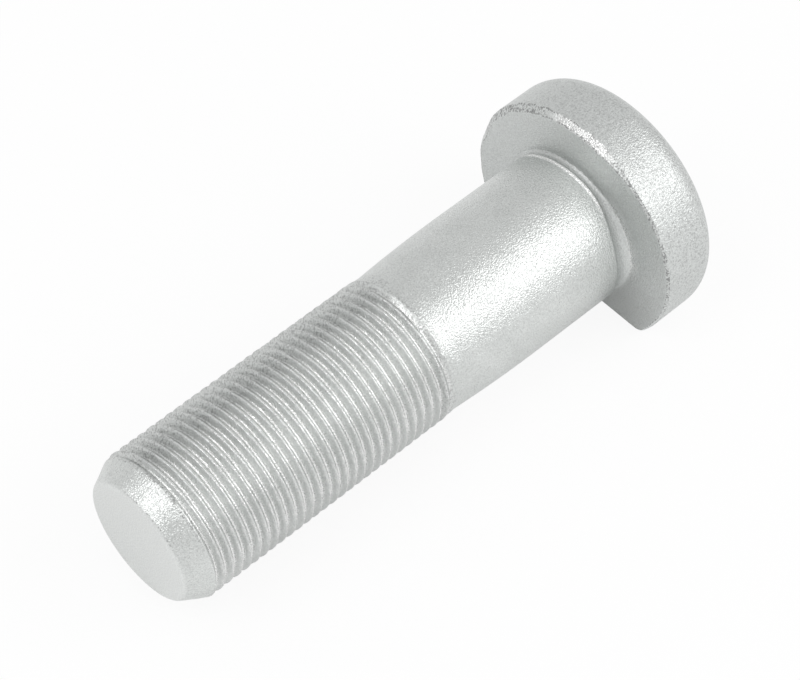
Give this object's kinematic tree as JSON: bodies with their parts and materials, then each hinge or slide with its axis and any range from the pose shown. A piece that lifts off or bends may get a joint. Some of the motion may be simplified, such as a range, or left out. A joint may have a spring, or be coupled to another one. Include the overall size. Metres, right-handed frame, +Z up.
{
  "type": "wheel bolt",
  "caption": "Coated steel wheel bolt with a fine metric thread, smooth shank, undercut neck and a round head with one flat that stops it turning in the hub.",
  "frame": {"origin": "on the table that the bolt lies on, below the middle of its length", "axes": "+X along the bolt's axis from the tip to the head, +Z up, with the head's flat facing -Z"},
  "size_m": [0.0886, 0.0366, 0.0298],
  "materials": {
    "coated_steel": "silver-grey zinc flake coating on steel, satin, fine grain"
  },
  "bodies": {
    "root": {"wheel_bolt": "coated_steel"}
  },
  "joints": []
}
